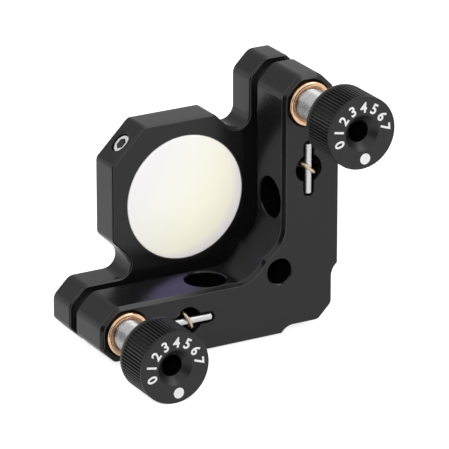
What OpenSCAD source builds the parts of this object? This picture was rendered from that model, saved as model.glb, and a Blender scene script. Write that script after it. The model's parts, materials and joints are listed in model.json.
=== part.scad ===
// Kinematic mount for a round mirror. Two L-shaped plates are pulled together by
// two extension springs. A fixed ball at the corner and two ball-tipped adjusters
// in the arm tips hold them apart, and turning an adjuster tilts the front plate.
//
// Everything is drawn in plate coordinates: u runs from the outer corner along one
// arm, w along the other, and d from the back plate's rear face to the front.
// stand() then sets the mount upright on the first arm.

/* [Plates] */
// Length of each arm, from the outer corner to its tip
arm_len = 52.8; // [50.5:0.1:64]
// Width of each arm
arm_w = 12.5; // [11.9:0.1:15.2]
// Thickness of the back plate
back_t = 10.4; // [9.6:0.1:14]
// Thickness of the front plate
front_t = 6.9; // [6.7:0.1:10]
// Gap between the plates when they are parallel
plate_gap = 2.95; // [2.6:0.05:3.8]
// Distance of the mirror's axis and of the post holes from the outer faces
axis_at = 27; // [26:0.1:30]
// Length of the raised pad on each outer face of the back plate
pad_len = 28.8; // [20:0.1:29.4]
// Depth of the relief beside the pads, and set-back of the front plate's outer faces
relief = 1.35; // [0.8:0.05:1.8]
// Radius of the cutter that ends each relief
relief_r = 3.2; // [2:0.1:4]
// Leg of the facets on the outer corners
outer_facet = 3; // [1:0.1:3.2]
// Leg of the facets on the inner corners of the arm tips
tip_facet = 3.5; // [1:0.1:4]
// Radius of the two arcs in the back plate's inner corner
inner_r = 6.4; // [5:0.1:8]
// Distance from an arm's inner face to the centre of the arc that ends the other arm
inner_run = 10.1; // [9:0.1:12]
// Chamfer on the back plate's rear edge, along the inside and round the tips
rear_chamfer = 0.73; // [0.3:0.01:1]
// Chamfer on the front plate's rear edge
front_chamfer = 0.4; // [0.2:0.05:0.8]

/* [Holes in the back plate] */
// Diameter of the post screw holes
post_hole_d = 4.5; // [3.5:0.1:5]
// Diameter of their counterbores
post_head_d = 8.2; // [7.2:0.1:8.4]
// Depth of their counterbores
post_head_depth = 4.2; // [3:0.1:4.4]
// Distance of the tapped corner hole from the outer faces
corner_hole_at = 13.15; // [12.8:0.05:13.6]
// Diameter of the tapped corner hole between its threads
corner_hole_d = 5.2; // [4:0.1:5.6]
// Chamfer at the mouths of the counterbores and the corner hole
hole_chamfer = 0.2; // [0.1:0.05:0.4]

/* [Mirror and cell] */
// Diameter of the mirror
mirror_d = 25.4; // [24:0.1:31]
// Thickness of the mirror
mirror_t = 6; // [5.5:0.1:6.5]
// Bevel on the mirror's edges
mirror_bevel = 0.15; // [0.05:0.05:0.4]
// How far the mirror's back stands proud of the front plate
mirror_proud = 0.15; // [0:0.05:0.4]
// Radial clearance between the mirror and its cell
mirror_clear = 0.05; // [0.02:0.01:0.2]
// Width of the lip that the mirror rests on
lip_w = 1.25; // [0.5:0.05:2]
// Wall from the mirror's edge to the flats of the cell
cell_wall = 3.35; // [2.5:0.05:3.6]
// Wall from the mirror's edge to the facet that holds the lock screw
lock_wall = 5.05; // [4.6:0.05:6]
// Radius of the notches between the cell and the arms
notch_r = 2.75; // [1.5:0.05:2.8]

/* [Lock screw] */
// Diameter of the lock screw
lock_d = 4.17; // [3.5:0.01:4.5]
// Depth of the lock screw below its facet
lock_recess = 0.55; // [0.2:0.05:1]
// Bevel at the ends of the lock screw
lock_edge = 0.28; // [0.1:0.01:0.4]
// Width across the flats of its socket
lock_socket = 1.98; // [1.5:0.01:2.1]
// Depth of its socket
lock_socket_depth = 2; // [1:0.1:2]
// Chamfer at the mouth of its hole
lock_chamfer = 0.3; // [0.1:0.05:0.4]
// Diameter of the nylon tip
nylon_d = 2.4; // [1.5:0.1:2.6]
// Length of the nylon tip that stands out of the screw
nylon_out = 1.3; // [0.8:0.05:2]
// Length of the nylon tip inside the screw
nylon_in = 0.9; // [0.5:0.05:1.2]

/* [Adjusters] */
// Distance of the adjusters and the pivot from the outer faces
adj_in = 6.75; // [6.6:0.05:7.2]
// Distance of the adjusters from the arm tips
adj_end = 5.75; // [5.7:0.05:7]
// Diameter of the adjuster screws
screw_d = 6.35; // [5.2:0.01:6.4]
// Length of the adjuster screws
screw_len = 28; // [26:0.1:30]
// Width across the flats of the sockets in their tails
screw_socket = 2; // [1.5:0.01:2.5]
// Depth of those sockets
screw_socket_depth = 3; // [2:0.1:4]
// Wall of the bushings
bushing_wall = 1.575; // [1.2:0.005:1.6]
// How far the bushings stand out of the rear face
bushing_proud = 0.5; // [0.2:0.05:1]
// Chamfer on the bushings' rear edge
bushing_chamfer = 0.2; // [0.1:0.05:0.3]
// Width of the ring groove in the bushings' rear face
bushing_groove = 0.35; // [0.2:0.05:0.5]
// Depth of the countersink round each bushing
bushing_sink = 0.45; // [0.2:0.05:0.5]
// Diameter of the balls in the screw tips
tip_ball_d = 4.76; // [4:0.01:4.8]
// Diameter of the pivot ball
pivot_ball_d = 6.35; // [5:0.01:7]
// How far a screw's rim reaches past the centre of its ball
ball_grip = 0.3; // [0.1:0.05:0.5]
// Diameter of the hardened seats in the front plate
seat_d = 7; // [6.4:0.1:8]
// Depth of the hardened seats
seat_t = 4; // [3.3:0.1:5]

/* [Knobs] */
// Diameter of the knobs
knob_d = 14.65; // [12:0.05:16]
// Length of the knobs
knob_len = 9.1; // [8:0.1:12]
// Mean distance between the knobs and the back plate
knob_gap = 10.5; // [8:0.1:11.5]
// How much further out the upper knob stands than the lower one
knob_stagger = 0.6; // [0:0.05:1]
// Diameter of the key hole through the knobs' ends
key_hole_d = 4.1; // [3:0.1:5]
// Depth of the countersink at the key hole
key_sink = 1.5; // [0.5:0.1:2]
// Chamfer on the knobs' rims
knob_edge = 0.35; // [0.1:0.05:0.8]

/* [Springs] */
// Distance of each spring from its adjuster, along the arm
spring_back = 13.45; // [13:0.05:13.6]
// Diameter of the spring holes
spring_hole_d = 5.7; // [5.2:0.1:5.8]
// Chamfer at their rear mouths
spring_hole_chamfer = 0.1; // [0.05:0.05:0.3]
// Outside diameter of the springs
spring_d = 4.6; // [3.8:0.1:4.8]
// Diameter of the spring wire
wire_d = 0.6; // [0.4:0.05:0.7]
// Turn of the upper spring's loops away from square to its pins
upper_loop_turn = 40; // [0:1:45]
// Turn of the lower spring's loops
lower_loop_turn = 27; // [0:1:45]
// Diameter of the dowel pins
pin_d = 1.5; // [1:0.1:1.8]
// Length of the dowel pins
pin_len = 10.3; // [9:0.1:10.8]
// Width of the pins' slots
slot_w = 2.35; // [2:0.05:2.6]
// Length of the pins' slots
slot_len = 11.6; // [11:0.1:12]
// Depth of the pins' slots
slot_depth = 1.2; // [1:0.05:1.5]

/* [Fits] */
// Radial clearance of the screws in their threads
thread_clear = 0.04; // [0.01:0.01:0.1]
// Gap between pieces that touch and move
contact_gap = 0.02; // [0.01:0.01:0.05]

/* [Hidden] */
$fn = 64;

// Cutters start and end this far outside what they cut
over = 0.5;
diag = sqrt(2);

// Places along d
front_d = back_t + plate_gap;
front_end = front_d + front_t;
ball_at = back_t + plate_gap / 2;
seat_end = front_d + seat_t;
mirror_rear = front_d - mirror_proud;
mirror_front = mirror_rear + mirror_t;
lock_at = front_d + front_t / 2;
screw_end = ball_at + ball_grip;
screw_tail = screw_end - screw_len;

// Places along the arms
adj_far = arm_len - adj_end;
spring_far = adj_far - spring_back;
// The reliefs start here, after the round steps at the pad's ends
relief_step = sqrt(relief_r ^ 2 - (relief_r - relief) ^ 2);
relief_low = axis_at - pad_len / 2 - relief_step;
relief_high = axis_at + pad_len / 2 + relief_step;
inner_arc_at = arm_w + inner_run;
// Where the two inner arcs meet on the diagonal
inner_sum = arm_w + inner_r + inner_arc_at;
inner_kink = (inner_sum - sqrt(2 * inner_r ^ 2 - (inner_run - inner_r) ^ 2)) / 2;

// Mirror cell
mirror_r = mirror_d / 2;
cell_r = mirror_r + mirror_clear;
cell_half = mirror_r + cell_wall;
cell_low = axis_at - cell_half * tan(22.5);
cell_top = axis_at + cell_half;
lock_face = mirror_r + lock_wall;
// Where the lock facet meets the cell's top
lock_corner = 2 * axis_at + lock_face * diag - cell_top;
// Where the cell's slanted flat meets an arm's inner face
slant_w = arm_w + cell_half * diag;
// The notch's circle touches both of them
notch_u = arm_w + notch_r;
notch_w = slant_w + notch_r * (1 + diag);
// It touches the slanted flat this far from its centre, along each arm
notch_end = notch_r / diag;

// Adjusters
bushing_r = screw_d / 2 + bushing_wall;
bore_r = screw_d / 2 + thread_clear;
groove_r = (bore_r + bushing_r) / 2;
upper_knob_at = -knob_gap - knob_stagger / 2;
lower_knob_at = -knob_gap + knob_stagger / 2;
tip_r = tip_ball_d / 2;
pivot_r = pivot_ball_d / 2;

// Springs
coil_r = (spring_d - wire_d) / 2;
loop_in = coil_r - wire_d / 2;
rear_pin_at = slot_depth - pin_d / 2;
front_pin_at = front_end - rear_pin_at;
rear_loop_at = rear_pin_at - pin_d / 2 - contact_gap + loop_in;
front_loop_at = front_pin_at + pin_d / 2 + contact_gap - loop_in;
coil_from = rear_loop_at + coil_r;
coil_to = front_loop_at - coil_r;
// Close-wound turns, pressed together a little so that each touches the next
coil_turns = ceil((coil_to - coil_from) / wire_d) + 1;
coil_pitch = (coil_to - coil_from - wire_d) / (coil_turns - 1);
// The loops' wire runs this far round past the pin, in degrees
loop_arc = 225;

lock_len = lock_wall - lock_recess - nylon_out;

// ---------------------------------------------------------------- helpers

// Sets the flat plate coordinates upright, with the mirror's axis over the origin
module stand() {
    translate([axis_at, -back_t / 2, 0])
        rotate([90, 0, 180])
            children();
}

// Swaps the two arms
module across() {
    mirror([1, -1, 0])
        children();
}

module both_arms() {
    children();
    across()
        children();
}

// A 45 degree cut along the edge from p to q of a face at d = 0. The part lies on
// the left of p to q. reach_p and reach_q carry the cut past each end.
module edge_cut(p, q, leg, reach_p, reach_q) {
    run = q - p;
    translate([p.x, p.y, 0])
        rotate([0, 0, atan2(run.y, run.x)])
            translate([-reach_p, 0, 0])
                rotate([90, 0, 90])
                    linear_extrude(norm(run) + reach_p + reach_q)
                        polygon([[leg + over, -over], [-over, -over], [-over, leg + over]]);
}

// The same cut round a concave arc
module arc_cut(centre, radius, leg) {
    translate([centre.x, centre.y, -over])
        cylinder(h = leg + 2 * over, r1 = radius + leg + over, r2 = radius - over);
}

// A round hole along d with a chamfer at its lower mouth
module drilled(radius, from, to, leg) {
    translate([0, 0, from - over])
        cylinder(h = to - from + 2 * over, r = radius);
    translate([0, 0, from - over])
        cylinder(h = leg + 2 * over, r1 = radius + leg + over, r2 = radius - over);
}

// ---------------------------------------------------------------- plates

// The same points with the arms swapped, in the order that goes on round the plate
function swapped(points) = [
    for (i = [len(points) - 1 : -1 : 0]) [points[i].y, points[i].x]
];

// From the outer side of an arm round its tip to its inner face
tip_points = [
    [relief, arm_len - outer_facet],
    [relief + outer_facet, arm_len],
    [arm_w - tip_facet, arm_len],
    [arm_w, arm_len - tip_facet]
];

module back_outline() {
    side = concat(
        [
            [relief, relief + outer_facet],
            [relief, relief_low],
            [0, relief_low],
            [0, relief_high],
            [relief, relief_high]
        ],
        tip_points,
        [[arm_w, inner_arc_at]]
    );
    polygon(concat(side, [[inner_kink, inner_kink]], swapped(side)));
}

module front_outline() {
    side = concat(
        [[relief, relief + outer_facet]],
        tip_points,
        [
            [arm_w, notch_w],
            [notch_u + notch_end, notch_w - notch_end],
            [cell_low, cell_top],
            [lock_corner, cell_top]
        ]
    );
    polygon(concat(side, swapped(side)));
}

// Rounds off the step at each end of a pad
module pad_ends() {
    for (at = [relief_low, relief_high])
        translate([relief - relief_r, at, -over])
            cylinder(h = back_t + 2 * over, r = relief_r);
}

module post_hole() {
    head_at = arm_w - post_head_depth;
    translate([-over, axis_at, back_t / 2])
        rotate([0, 90, 0]) {
            cylinder(h = arm_w + 2 * over, r = post_hole_d / 2);
            translate([0, 0, head_at + over])
                cylinder(h = post_head_depth + over, r = post_head_d / 2);
            translate([0, 0, arm_w + over - hole_chamfer])
                cylinder(
                    h = hole_chamfer + over,
                    r1 = post_head_d / 2,
                    r2 = post_head_d / 2 + hole_chamfer + over
                );
        }
}

// Slot for a dowel pin, along w, in a face at d = 0
module pin_slot() {
    half = (slot_len - slot_w) / 2;
    translate([adj_in, spring_far, -over]) {
        for (end = [-half, half])
            translate([0, end, 0])
                cylinder(h = slot_depth + over, r = slot_w / 2);
        translate([-slot_w / 2, -half, 0])
            cube([slot_w, 2 * half, slot_depth + over]);
    }
}

// Everything that is cut twice into the back plate, once for each arm
module back_arm_cuts() {
    tip = arm_len - tip_facet;
    arc = [arm_w + inner_r, inner_arc_at];
    pad_ends();
    translate([arc.x, arc.y, -over])
        cylinder(h = back_t + 2 * over, r = inner_r);
    arc_cut(arc, inner_r, rear_chamfer);
    edge_cut([arm_w, inner_arc_at], [arm_w, tip], rear_chamfer, 0, over);
    edge_cut([arm_w, tip], [arm_w - tip_facet, arm_len], rear_chamfer, over, over);
    edge_cut(
        [arm_w - tip_facet, arm_len], [relief + outer_facet, arm_len],
        rear_chamfer, over, 0
    );
    translate([adj_in, adj_far, 0])
        drilled(bushing_r, 0, back_t, bushing_sink);
    translate([adj_in, spring_far, 0])
        drilled(spring_hole_d / 2, 0, back_t, spring_hole_chamfer);
    pin_slot();
    post_hole();
}

module back_plate() {
    color("#2b2b2c")
        stand()
            difference() {
                linear_extrude(back_t)
                    back_outline();
                both_arms()
                    back_arm_cuts();
                translate([corner_hole_at, corner_hole_at, 0])
                    drilled(corner_hole_d / 2, 0, back_t, hole_chamfer);
                ball_cone(back_t, -1);
            }
}

// 90 degree cone for the pivot ball, opening at the face at d = face. side is -1
// for a cone below the ball and 1 for one above it.
module ball_cone(face, side) {
    tip = ball_at + side * (pivot_r + contact_gap) * diag;
    mouth = face - side * over;
    translate([adj_in, adj_in, min(tip, mouth)])
        cylinder(
            h = abs(tip - mouth),
            r1 = side > 0 ? abs(tip - mouth) : 0,
            r2 = side > 0 ? 0 : abs(tip - mouth)
        );
}

module front_arm_cuts() {
    tip = arm_len - tip_facet;
    notch = [notch_u, notch_w];
    slant = [notch_u + notch_end, notch_w - notch_end];
    translate([notch.x, notch.y, -over])
        cylinder(h = front_t + 2 * over, r = notch_r);
    arc_cut(notch, notch_r, front_chamfer);
    edge_cut([arm_w, notch_w], [arm_w, tip], front_chamfer, 0, over);
    edge_cut([arm_w, tip], [arm_w - tip_facet, arm_len], front_chamfer, over, over);
    edge_cut(
        [arm_w - tip_facet, arm_len], [relief + outer_facet, arm_len],
        front_chamfer, over, over
    );
    edge_cut([cell_low, cell_top], slant, front_chamfer, over, 0);
    edge_cut([lock_corner, cell_top], [cell_low, cell_top], front_chamfer, over, over);
    translate([adj_in, adj_far, -over])
        cylinder(h = seat_t + over, r = seat_d / 2);
    translate([adj_in, spring_far, -over])
        cylinder(h = front_t + 2 * over, r = spring_hole_d / 2);
    translate([0, 0, front_t])
        mirror([0, 0, 1])
            pin_slot();
}

// Lies along the lock screw's axis, with z = 0 on the mirror's axis
module lock_axis() {
    translate([axis_at, axis_at, lock_at])
        rotate([0, 90, 45])
            children();
}

module front_plate() {
    color("#262627")
        stand()
            difference() {
                translate([0, 0, front_d])
                    difference() {
                        linear_extrude(front_t)
                            front_outline();
                        both_arms()
                            front_arm_cuts();
                        edge_cut(
                            [cell_top, lock_corner], [lock_corner, cell_top],
                            front_chamfer, over, over
                        );
                        translate([adj_in, adj_in, -over])
                            cylinder(h = seat_t + over, r = seat_d / 2);
                    }
                translate([axis_at, axis_at, front_d - over])
                    cylinder(h = mirror_front - front_d + over, r = cell_r);
                translate([axis_at, axis_at, front_d])
                    cylinder(h = front_t + over, r = mirror_r - lip_w);
                lock_axis() {
                    cylinder(h = lock_face + over, r = lock_d / 2 + thread_clear);
                    translate([0, 0, lock_face - lock_chamfer])
                        cylinder(
                            h = lock_chamfer + over,
                            r1 = lock_d / 2,
                            r2 = lock_d / 2 + lock_chamfer + over
                        );
                }
            }
}

module mirror_disc() {
    r = mirror_r;
    b = mirror_bevel;
    color("#efeee6")
        stand()
            translate([axis_at, axis_at, mirror_rear])
                rotate_extrude()
                    polygon([
                        [0, 0], [r - b, 0], [r, b],
                        [r, mirror_t - b], [r - b, mirror_t], [0, mirror_t]
                    ]);
}

// ---------------------------------------------------------------- lock screw

module lock_screw() {
    inner = mirror_r + nylon_out;
    e = lock_edge;
    color("#b9bbbd")
        stand()
            lock_axis()
                difference() {
                    translate([0, 0, inner])
                        rotate_extrude()
                            polygon([
                                [0, 0], [lock_d / 2 - e, 0], [lock_d / 2, e],
                                [lock_d / 2, lock_len - e],
                                [lock_d / 2 - e, lock_len], [0, lock_len]
                            ]);
                    translate([0, 0, inner + lock_len - lock_socket_depth])
                        cylinder(
                            h = lock_socket_depth + over,
                            r = lock_socket / sqrt(3),
                            $fn = 6
                        );
                    translate([0, 0, inner - over])
                        cylinder(h = nylon_in + over + contact_gap, r = nylon_d / 2 + contact_gap);
                }
}

module lock_tip() {
    color("#e8e6dc")
        stand()
            lock_axis()
                translate([0, 0, mirror_r + contact_gap])
                    cylinder(h = nylon_out + nylon_in - contact_gap, r = nylon_d / 2);
}

// ---------------------------------------------------------------- adjusters

module bushing() {
    r = bushing_r;
    c = bushing_chamfer;
    g = bushing_groove / 2;
    color("#c98f62")
        stand()
            translate([adj_in, adj_far, -bushing_proud])
                rotate_extrude()
                    polygon([
                        [bore_r, 0], [groove_r - g, 0], [groove_r - g, bushing_groove],
                        [groove_r + g, bushing_groove], [groove_r + g, 0], [r - c, 0],
                        [r, c], [r, back_t + bushing_proud], [bore_r, back_t + bushing_proud]
                    ]);
}

module adjuster_screw() {
    color("#c9cbcc")
        stand()
            translate([adj_in, adj_far, 0])
                difference() {
                    translate([0, 0, screw_tail])
                        cylinder(h = screw_len, r = screw_d / 2);
                    translate([0, 0, ball_at])
                        sphere(r = tip_r + contact_gap);
                    translate([0, 0, screw_tail - over])
                        cylinder(
                            h = screw_socket_depth + over,
                            r = screw_socket / sqrt(3),
                            $fn = 6
                        );
                }
}

// A knob whose rear face, towards the plate, is at d = at
module knob(at) {
    r = knob_d / 2;
    e = knob_edge;
    hole = key_hole_d / 2;
    inside = at - screw_tail;
    color("#2a2a2b")
        stand()
            translate([adj_in, adj_far, at])
                mirror([0, 0, 1])
                    rotate_extrude()
                        polygon([
                            [screw_d / 2, 0], [r - e, 0], [r, e],
                            [r, knob_len - e], [r - e, knob_len],
                            [hole + key_sink, knob_len], [hole, knob_len - key_sink],
                            [hole, inside], [screw_d / 2, inside]
                        ]);
}

module tip_ball() {
    color("#d5d7d9")
        stand()
            translate([adj_in, adj_far, ball_at])
                sphere(r = tip_r);
}

module pivot_ball() {
    color("#d5d7d9")
        stand()
            translate([adj_in, adj_in, ball_at])
                sphere(r = pivot_r);
}

// ---------------------------------------------------------------- seats

module cone_seat() {
    color("#8f9193")
        stand()
            difference() {
                translate([adj_in, adj_in, front_d])
                    cylinder(h = seat_t, r = seat_d / 2);
                ball_cone(front_d, 1);
            }
}

// The groove points at the pivot, so the adjuster sets the tilt and nothing else
module groove_seat() {
    apex = ball_at + (tip_r + contact_gap) * diag;
    half = apex - front_d + over;
    color("#8f9193")
        stand()
            translate([adj_in, adj_far, 0])
                difference() {
                    translate([0, 0, front_d])
                        cylinder(h = seat_t, r = seat_d / 2);
                    translate([0, seat_d, 0])
                        rotate([90, 0, 0])
                            linear_extrude(2 * seat_d)
                                polygon([
                                    [-half, front_d - over], [half, front_d - over],
                                    [0, apex]
                                ]);
                }
}

module flat_seat() {
    low = ball_at + tip_r + contact_gap;
    color("#8f9193")
        stand()
            translate([adj_in, adj_far, low])
                cylinder(h = seat_end - low, r = seat_d / 2);
}

// ---------------------------------------------------------------- springs

module dowel(at) {
    color("#dcdcdc")
        stand()
            translate([adj_in, spring_far - pin_len / 2, at])
                rotate([-90, 0, 0])
                    cylinder(h = pin_len, r = pin_d / 2);
}

// Open loop over a pin, starting at the side where its leg goes to the coil
module loop_wire() {
    rotate([90, 0, 0])
        rotate([0, 0, 180])
            rotate_extrude(angle = loop_arc)
                translate([coil_r, 0])
                    circle(r = wire_d / 2);
}

module spring(turn) {
    color("#b99a6b")
        stand()
            translate([adj_in, spring_far, 0])
                rotate([0, 0, turn]) {
                    rotate_extrude()
                        for (i = [0 : coil_turns - 1])
                            translate([coil_r, coil_from + wire_d / 2 + i * coil_pitch])
                                circle(r = wire_d / 2);
                    spring_end(rear_loop_at, coil_from + wire_d - rear_loop_at);
                    translate([0, 0, front_loop_at])
                        mirror([0, 0, 1])
                            spring_end(0, front_loop_at - coil_to + wire_d);
                }
}

// Loop at height at, with a straight leg of the given length
module spring_end(at, leg) {
    translate([0, 0, at]) {
        loop_wire();
        translate([-coil_r, 0, 0])
            cylinder(h = leg, r = wire_d / 2);
    }
}

// ---------------------------------------------------------------- nodes

// Turns a piece of the first arm into the same piece of the other arm
module lower() {
    translate([axis_at, 0, 0])
        mirror([1, 0, 1])
            translate([-axis_at, 0, 0])
                children();
}

back_plate();
front_plate();
mirror_disc();  // mirror
bushing();  // upper_bushing
lower() bushing();  // lower_bushing
adjuster_screw();  // upper_screw
lower() adjuster_screw();  // lower_screw
knob(upper_knob_at);  // upper_knob
lower() knob(lower_knob_at);  // lower_knob
tip_ball();  // upper_tip_ball
lower() tip_ball();  // lower_tip_ball
pivot_ball();
cone_seat();
groove_seat();
lower() flat_seat();
spring(upper_loop_turn);  // upper_spring
lower() spring(lower_loop_turn);  // lower_spring
dowel(rear_pin_at);  // upper_rear_pin
lower() dowel(rear_pin_at);  // lower_rear_pin
dowel(front_pin_at);  // upper_front_pin
lower() dowel(front_pin_at);  // lower_front_pin
lock_screw();
lock_tip();
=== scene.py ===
"""Looks of a kinematic mirror mount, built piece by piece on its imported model.

Pieces are drawn in millimetres in their own coordinates. For the plates these are
u from the outer corner along the bottom arm, w up the standing arm and d from the
rear face to the front. For round pieces z runs along d and the axis is at x = y = 0.
"""

import json
from math import asin, atan2, ceil, cos, degrees, floor, hypot, pi, radians, sin, sqrt, tan

import bmesh
import bpy
from mathutils import Matrix, Vector
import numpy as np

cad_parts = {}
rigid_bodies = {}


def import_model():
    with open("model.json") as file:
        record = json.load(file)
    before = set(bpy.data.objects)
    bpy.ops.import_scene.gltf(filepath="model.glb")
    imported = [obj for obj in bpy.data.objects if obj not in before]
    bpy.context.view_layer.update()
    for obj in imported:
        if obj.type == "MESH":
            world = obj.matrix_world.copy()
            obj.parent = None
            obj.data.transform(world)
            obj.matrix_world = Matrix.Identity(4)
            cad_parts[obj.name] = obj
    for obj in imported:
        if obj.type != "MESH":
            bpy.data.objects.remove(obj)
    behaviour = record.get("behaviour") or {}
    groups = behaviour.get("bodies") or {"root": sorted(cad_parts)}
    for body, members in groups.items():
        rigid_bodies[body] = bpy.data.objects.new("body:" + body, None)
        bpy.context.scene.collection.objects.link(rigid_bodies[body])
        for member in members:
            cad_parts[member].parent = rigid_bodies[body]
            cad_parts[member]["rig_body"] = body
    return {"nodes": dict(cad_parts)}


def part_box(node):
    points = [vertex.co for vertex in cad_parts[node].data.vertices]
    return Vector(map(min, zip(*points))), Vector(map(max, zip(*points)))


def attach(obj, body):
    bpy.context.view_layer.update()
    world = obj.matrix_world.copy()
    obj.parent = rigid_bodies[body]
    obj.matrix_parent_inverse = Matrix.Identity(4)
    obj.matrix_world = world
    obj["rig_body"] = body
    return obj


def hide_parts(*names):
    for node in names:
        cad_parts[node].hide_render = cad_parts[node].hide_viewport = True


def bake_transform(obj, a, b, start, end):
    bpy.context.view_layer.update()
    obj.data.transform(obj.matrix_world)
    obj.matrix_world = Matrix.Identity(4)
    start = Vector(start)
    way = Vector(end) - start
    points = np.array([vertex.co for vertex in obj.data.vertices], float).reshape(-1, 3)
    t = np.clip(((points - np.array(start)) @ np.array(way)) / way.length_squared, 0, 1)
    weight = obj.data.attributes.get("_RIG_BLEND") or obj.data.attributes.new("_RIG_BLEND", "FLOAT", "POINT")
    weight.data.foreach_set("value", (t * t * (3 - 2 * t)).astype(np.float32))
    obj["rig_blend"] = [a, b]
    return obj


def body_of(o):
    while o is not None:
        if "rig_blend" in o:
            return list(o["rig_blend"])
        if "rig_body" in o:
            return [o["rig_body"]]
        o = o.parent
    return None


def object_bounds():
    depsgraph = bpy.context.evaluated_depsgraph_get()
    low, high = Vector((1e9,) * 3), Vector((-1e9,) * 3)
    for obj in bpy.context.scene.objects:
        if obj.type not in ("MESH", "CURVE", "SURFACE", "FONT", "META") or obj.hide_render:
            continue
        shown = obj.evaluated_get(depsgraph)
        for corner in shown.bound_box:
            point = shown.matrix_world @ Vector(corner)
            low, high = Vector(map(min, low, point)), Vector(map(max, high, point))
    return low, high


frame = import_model()
CAD_BOX = [list(corner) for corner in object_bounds()]

bl_info = {
    "name": "Mirror Mount Looks",
    "version": (1, 0, 0),
    "blender": (4, 5, 0),
    "location": "View3D > Sidebar > Mirror Mount",
    "description": "Builds the visible pieces of a kinematic mirror mount",
    "category": "Add Mesh",
}

MM = 0.001
MICRON = 0.000001
ARMS = ("upper", "lower")


# ------------------ places from the frame


def corners(node):
    """Lowest and highest corner of a node, in millimetres."""
    low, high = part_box(node)
    return low / MM, high / MM


BACK_LOW, BACK_HIGH = corners("back_plate")
FRONT_LOW, FRONT_HIGH = corners("front_plate")
SIDE_X, REAR_Y, FOOT_Z = BACK_HIGH.x, BACK_LOW.y, BACK_LOW.z
ARM_LEN = BACK_HIGH.z - FOOT_Z
BACK_T = BACK_HIGH.y - REAR_Y
FRONT_D = FRONT_LOW.y - REAR_Y
FRONT_END = FRONT_HIGH.y - REAR_Y
RELIEF = FRONT_LOW.z - FOOT_Z


class Place:
    """Where a round piece sits: its axis at (u, w), its ends and middle along d, and its radius."""

    def __init__(self, node):
        low, high = corners(node)
        self.u = SIDE_X - (low.x + high.x) / 2
        self.w = (low.z + high.z) / 2 - FOOT_Z
        self.start, self.end = low.y - REAR_Y, high.y - REAR_Y
        self.middle = (self.start + self.end) / 2
        self.long = self.end - self.start
        self.radius = (high.z - low.z) / 2

    def matrix(self):
        """Matrix that sets a piece drawn along z, from z = 0, in this place."""
        return stand(self.u, self.w, self.start)


def stand(u=0.0, w=0.0, d=0.0, turn=0.0):
    """Matrix that sets a piece drawn in (u, w, d) at this point of the mount."""
    spot = Vector((SIDE_X - u, REAR_Y + d, FOOT_Z + w)) * MM
    axes = Matrix(((-1, 0, 0), (0, 0, 1), (0, 1, 0))).to_4x4()
    return Matrix.Translation(spot) @ axes @ Matrix.Rotation(turn, 4, "Z")


# Sizes of the plates that no box gives, in millimetres
ARM_W = 12.5
AXIS_AT = Place("mirror").u
PAD_HALF = 14.4
RELIEF_R = 3.2
OUTER_FACET, TIP_FACET, FACET_R = 3.0, 3.5, 1.4
INNER_R, INNER_RUN = 6.4, 10.1
CELL_HALF, CELL_R, CELL_LIP = 16.05, 1.5, 1.25
NOTCH_R = 2.75
LOCK_FACE, LOCK_CREST, LOCK_ROOT = 17.75, 2.12, 2.5
SPRING_BACK, SPRING_HOLE_R = 13.45, 2.85
PIN_SLOT = (2.35, 11.6, 1.2, 0.08)
POST_R, POST_HEAD_R, POST_HEAD_DEEP = 2.25, 4.1, 4.2
CORNER_HOLE, CORNER_CREST, CORNER_ROOT = 13.15, 2.6, 2.9
SEAT_R, SEAT_DEEP = 3.5, 3
OVER = 1.0

# Sizes of the round pieces, in millimetres
BUSHING_R, BUSHING_BORE, LIP_WIDE, LIP_OUT = 4.5, 3.22, 0.58, 0.38
BALL_GAP = 0.02
SOCKET_DEEP = 3.0
SCREW_SEAT_R, KNOB_CUP_R, KNOB_HOLE_R = 3.175, 3.62, 2.15
DIAL_R, DOT_AT, PAINT_HALF = 5.16, (0.75, 5.3), 0.05
SPRING_MEAN_R, SPRING_LEG = 2.0, 2.6
LOCK_R, LOCK_LONG = 2.085, 3.28

# Part of its range that a noise mostly stays in
NOISE_SPAN = (0.3, 0.7)


# ------------------ sizes and colours


def length(name, text, size):
    return bpy.props.FloatProperty(
        name=name, description=text, default=size * MM, min=0.0, precision=5, unit="LENGTH",
        subtype="DISTANCE",
    )


def colour(name, text, value):
    return bpy.props.FloatVectorProperty(
        name=name, description=text, default=value, min=0.0, max=1.0, size=3, subtype="COLOR"
    )


class MountSizes(bpy.types.PropertyGroup):
    edge_break: length("Edge break", "Radius of the broken edges of the plates", 0.28)
    corner_round: length("Corner round", "Radius between the facets of the plates", 2.4)
    rear_chamfer: length("Rear chamfer", "Chamfer inside and round the tips of the back plate", 0.73)
    front_chamfer: length("Front chamfer", "Chamfer on the rear edge of the front plate", 0.3)
    knurl_teeth: bpy.props.IntProperty(
        name="Knurl teeth", description="Number of teeth round each knob", default=68, min=12, max=160
    )
    knurl_depth: length("Knurl depth", "Depth of the grooves between the teeth", 0.42)
    knurl_rear: length("Rear band", "Smooth band behind the teeth", 1.15)
    knurl_face: length("Front band", "Smooth band in front of the teeth", 0.55)
    screw_pitch: length("Screw pitch", "Thread pitch of the adjuster screws", 0.3175)
    hole_pitch: length("Hole pitch", "Thread pitch of the corner hole", 1.27)
    lock_pitch: length("Lock pitch", "Thread pitch of the lock screw", 0.79375)
    wire: length("Spring wire", "Diameter of the spring wire", 0.7)
    number: length("Dial numbers", "Height of the type on the knobs", 2.85)
    dot: length("Index dot", "Diameter of the index dot on each knob", 2.2)


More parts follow.
